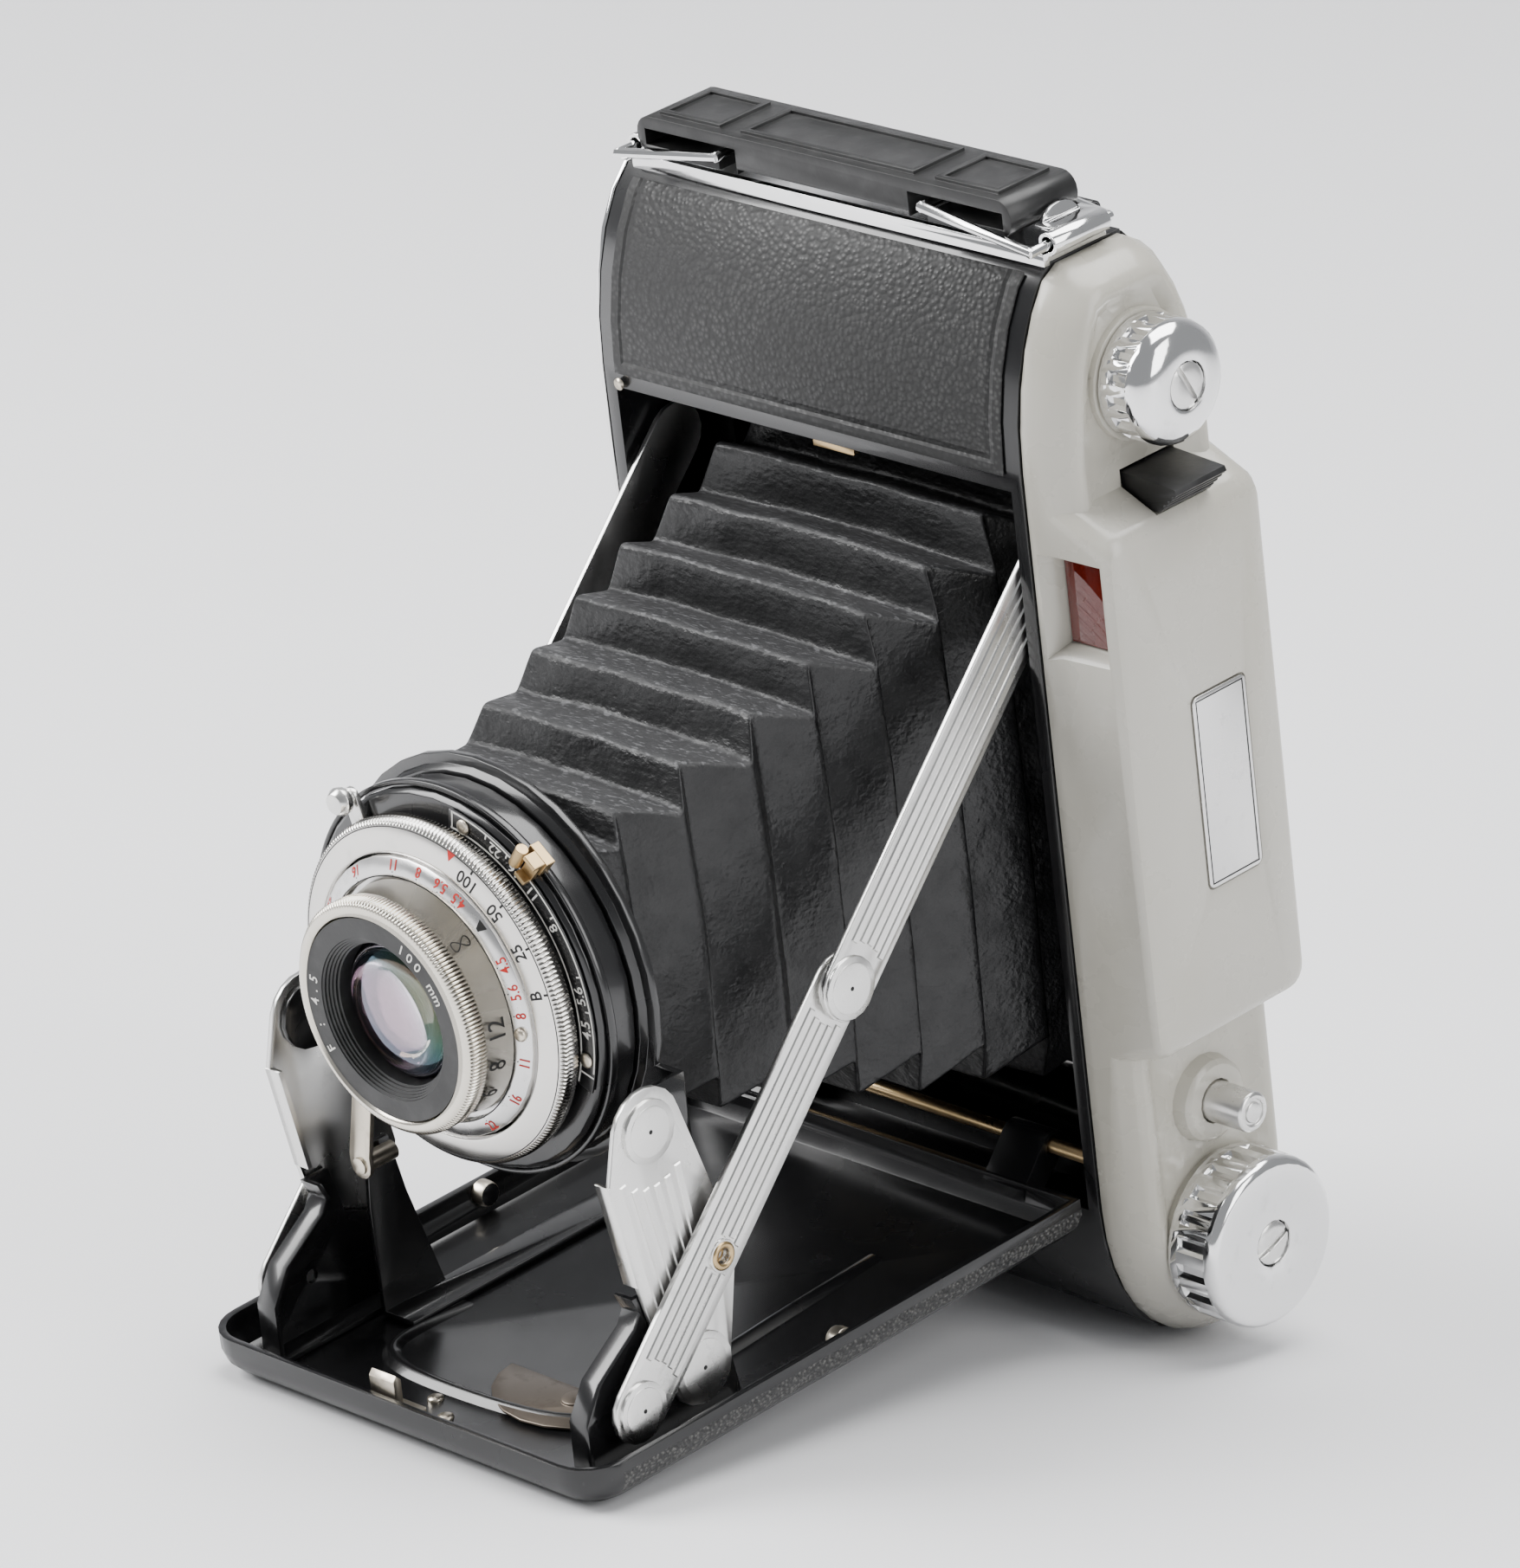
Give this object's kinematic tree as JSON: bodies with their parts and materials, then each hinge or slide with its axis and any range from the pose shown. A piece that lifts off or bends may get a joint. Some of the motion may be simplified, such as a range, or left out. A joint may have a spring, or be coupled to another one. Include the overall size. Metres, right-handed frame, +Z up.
{
  "type": "folding camera",
  "caption": "Folding roll-film camera standing open: drop bed, tapering bellows, round shutter and lens on folding struts, side housing with finder and winding knobs, carrying handle.",
  "frame": {"origin": "centre of the bounding box's underside, the level it stands on", "axes": "+Z up and the longest way, -Y the way the lens looks, +X towards the side housing and its knobs, the shortest way"},
  "size_m": [0.1004, 0.1368, 0.1731],
  "materials": {
    "black_enamel": "gloss black enamel",
    "black_leather": "fine pebble grain",
    "bellows_cloth": "coated cloth over leather",
    "grey_shell": "warm light grey, satin gloss",
    "black_plastic": "satin black",
    "bright_chrome": "polished",
    "satin_chrome": "satin",
    "brass": "tarnished",
    "nickel": "aged nickel plate",
    "steel": "satin",
    "lens_glass": "coated, polished",
    "tinted_glass": "dark red, polished"
  },
  "bodies": {
    "camera_body": {"body_shell": "black_enamel", "front_leather": "black_leather", "side_trim": "bright_chrome", "back_hinge_pin": "steel", "film_gate": "black_enamel", "film_guide_lower": "steel", "film_guide_upper": "steel", "side_housing": "grey_shell", "viewfinder_front_lens": "tinted_glass", "viewfinder_rear_lens": "lens_glass", "nameplate": "satin_chrome", "handle_base": "bright_chrome", "bed_hinge_pin": "brass", "bellows": "bellows_cloth"},
    "back": {"back_cover": "black_leather", "pressure_plate": "steel", "counter_window": "tinted_glass"},
    "window_cover": {"window_slide": "black_enamel"},
    "cover_catch": {"back_latch": "satin_chrome"},
    "winding": {"winding_knob": "bright_chrome", "winding_knob_screw": "satin_chrome", "winding_shaft": "steel", "takeup_spool": "black_enamel"},
    "supply": {"supply_knob": "bright_chrome", "supply_knob_screw": "satin_chrome", "supply_shaft": "steel", "supply_spool": "black_enamel"},
    "plunger": {"bed_release_plunger": "satin_chrome"},
    "front_catch": {"bed_latch": "brass"},
    "key": {"release_key": "black_plastic"},
    "handle": {"handle_grip": "black_plastic"},
    "link_left": {"handle_link_left": "bright_chrome"},
    "link_right": {"handle_link_right": "bright_chrome"},
    "bed": {"bed_tray": "black_enamel", "bed_leather": "black_leather", "bed_catch": "nickel", "bed_spring_leaf": "steel", "strut_bracket_left": "black_enamel", "strut_bracket_right": "black_enamel"},
    "trip_link": {"release_link": "black_enamel"},
    "upper_left": {"upper_strut_left": "satin_chrome"},
    "upper_right": {"upper_strut_right": "satin_chrome"},
    "lower_left": {"lower_strut_left": "satin_chrome"},
    "lower_right": {"lower_strut_right": "satin_chrome"},
    "rocker_left": {"rocker_arm_left": "satin_chrome"},
    "rocker_right": {"rocker_arm_right": "satin_chrome"},
    "standard": {"lens_standard": "black_enamel", "shutter_housing": "black_enamel", "shutter_blades": "steel", "aperture_scale": "black_enamel", "shutter_front": "bright_chrome", "rear_lens_cell": "black_enamel", "rear_glass": "lens_glass"},
    "aperture": {"aperture_ring": "brass"},
    "speed": {"speed_ring": "bright_chrome"},
    "cocking": {"cocking_lever": "satin_chrome"},
    "trip_lever": {"release_lever": "nickel"},
    "focus": {"focus_ring": "satin_chrome", "name_ring": "black_enamel", "front_glass": "lens_glass"}
  },
  "joints": [
    {"name": "bed_fold", "type": "hinge", "parent": "camera_body", "child": "bed", "pos_m": [-0.0074, 0.03719, 0.02877], "axis": [-1, 0, 0], "range_deg": [0, 90], "deforming": ["bellows"]},
    {"name": "upper_strut_left_turn", "type": "hinge", "parent": "camera_body", "child": "upper_left", "pos_m": [-0.0448, 0.02552, 0.12164], "axis": [-1, 0, 0], "range_deg": [-43, 1]},
    {"name": "upper_strut_right_turn", "type": "hinge", "parent": "camera_body", "child": "upper_right", "pos_m": [0.03, 0.02552, 0.12164], "axis": [-1, 0, 0], "range_deg": [-43, 1]},
    {"name": "lower_strut_left_turn", "type": "hinge", "parent": "bed", "child": "lower_left", "pos_m": [-0.0431, -0.05006, 0.01222], "axis": [-1, 0, 0], "range_deg": [-1, 44]},
    {"name": "lower_strut_right_turn", "type": "hinge", "parent": "bed", "child": "lower_right", "pos_m": [0.0283, -0.05006, 0.01222], "axis": [-1, 0, 0], "range_deg": [-1, 44]},
    {"name": "rocker_left_turn", "type": "hinge", "parent": "bed", "child": "rocker_left", "pos_m": [-0.0414, -0.03703, 0.01491], "axis": [-1, 0, 0], "range_deg": [-1, 87]},
    {"name": "rocker_right_turn", "type": "hinge", "parent": "bed", "child": "rocker_right", "pos_m": [0.0266, -0.03703, 0.01491], "axis": [-1, 0, 0], "range_deg": [-1, 87]},
    {"name": "standard_turn", "type": "hinge", "parent": "rocker_right", "child": "standard", "pos_m": [0.0256, -0.04846, 0.05131], "axis": [-1, 0, 0], "range_deg": [-177, 1]},
    {"name": "focus_turn", "type": "hinge", "parent": "standard", "child": "focus", "pos_m": [-0.0074, -0.059, 0.06335], "axis": [0, 0.9823, 0.1875], "range_deg": [-150, 150]},
    {"name": "speed_ring_turn", "type": "hinge", "parent": "standard", "child": "speed", "pos_m": [-0.0074, -0.05409, 0.06428], "axis": [0, 0.9823, 0.1875], "range_deg": [-20, 50]},
    {"name": "aperture_turn", "type": "hinge", "parent": "standard", "child": "aperture", "pos_m": [-0.0074, -0.05016, 0.06503], "axis": [0, 0.9823, 0.1875], "range_deg": [-20, 55]},
    {"name": "cocking_turn", "type": "hinge", "parent": "standard", "child": "cocking", "pos_m": [-0.0074, -0.05213, 0.06466], "axis": [0, 0.9823, 0.1875], "range_deg": [-25, 0], "stiffness_Nm_per_rad": 0.01, "springref_deg": 1.15},
    {"name": "trip_lever_turn", "type": "hinge", "parent": "standard", "child": "trip_lever", "pos_m": [-0.02792, -0.04901, 0.04834], "axis": [0, -0.9823, -0.1875], "range_deg": [-1, 6]},
    {"name": "key_press", "type": "slide", "parent": "camera_body", "child": "key", "axis": [-1, 0, 0], "range_m": [0, 0.002], "stiffness_N_per_m": 400, "springref_m": -0.0005},
    {"name": "trip_link_slide", "type": "slide", "parent": "bed", "child": "trip_link", "axis": [1, 0, 0], "range_m": [0, 0.0016]},
    {"name": "plunger_press", "type": "slide", "parent": "camera_body", "child": "plunger", "axis": [-1, 0, 0], "range_m": [0, 0.0022], "stiffness_N_per_m": 400, "springref_m": -0.0005},
    {"name": "front_catch_slide", "type": "slide", "parent": "camera_body", "child": "front_catch", "axis": [-1, 0, 0], "range_m": [0, 0.0023]},
    {"name": "winding_knob_turn", "type": "hinge", "parent": "camera_body", "child": "winding", "pos_m": [0.0406, 0.0539, 0.01751], "axis": [1, 0, 0], "continuous": true},
    {"name": "supply_knob_turn", "type": "hinge", "parent": "camera_body", "child": "supply", "pos_m": [0.0406, 0.02929, 0.14638], "axis": [1, 0, 0], "continuous": true},
    {"name": "back_open", "type": "hinge", "parent": "camera_body", "child": "back", "pos_m": [-0.0074, 0.03242, 0.16652], "axis": [1, 0, 0], "range_deg": [0, 110]},
    {"name": "window_cover_slide", "type": "slide", "parent": "back", "child": "window_cover", "axis": [0, -0.1875, 0.9823], "range_m": [0, 0.011]},
    {"name": "back_latch_slide", "type": "slide", "parent": "camera_body", "child": "cover_catch", "axis": [0, 0.1875, -0.9823], "range_m": [0, 0.003]},
    {"name": "handle_lift", "type": "slide", "parent": "camera_body", "child": "handle", "axis": [0, -0.1875, 0.9823], "range_m": [0, 0.008]},
    {"name": "handle_link_left_turn", "type": "hinge", "parent": "camera_body", "child": "link_left", "pos_m": [-0.046, 0.02224, 0.1657], "axis": [0, -0.9823, -0.1875], "range_deg": [-1, 26]},
    {"name": "handle_link_right_turn", "type": "hinge", "parent": "camera_body", "child": "link_right", "pos_m": [0.0338, 0.02224, 0.1657], "axis": [0, 0.9823, 0.1875], "range_deg": [-1, 26]}
  ],
  "couplings": [
    {"joint": "upper_strut_left_turn", "follows": "bed_fold", "ratio": -0.46627},
    {"joint": "upper_strut_right_turn", "follows": "bed_fold", "ratio": -0.46627},
    {"joint": "lower_strut_left_turn", "follows": "bed_fold", "ratio": 0.47842},
    {"joint": "lower_strut_right_turn", "follows": "bed_fold", "ratio": 0.47842},
    {"joint": "rocker_left_turn", "follows": "bed_fold", "ratio": 0.95102},
    {"joint": "rocker_right_turn", "follows": "bed_fold", "ratio": 0.95102},
    {"joint": "standard_turn", "follows": "bed_fold", "ratio": -1.951},
    {"joint": "trip_link_slide", "follows": "key_press", "ratio": 0.75},
    {"joint": "trip_lever_turn", "follows": "key_press", "rad_per_m": 40.5},
    {"joint": "front_catch_slide", "follows": "plunger_press", "ratio": 1},
    {"joint": "handle_link_left_turn", "follows": "handle_lift", "rad_per_m": 53.342},
    {"joint": "handle_link_right_turn", "follows": "handle_lift", "rad_per_m": 53.342}
  ]
}
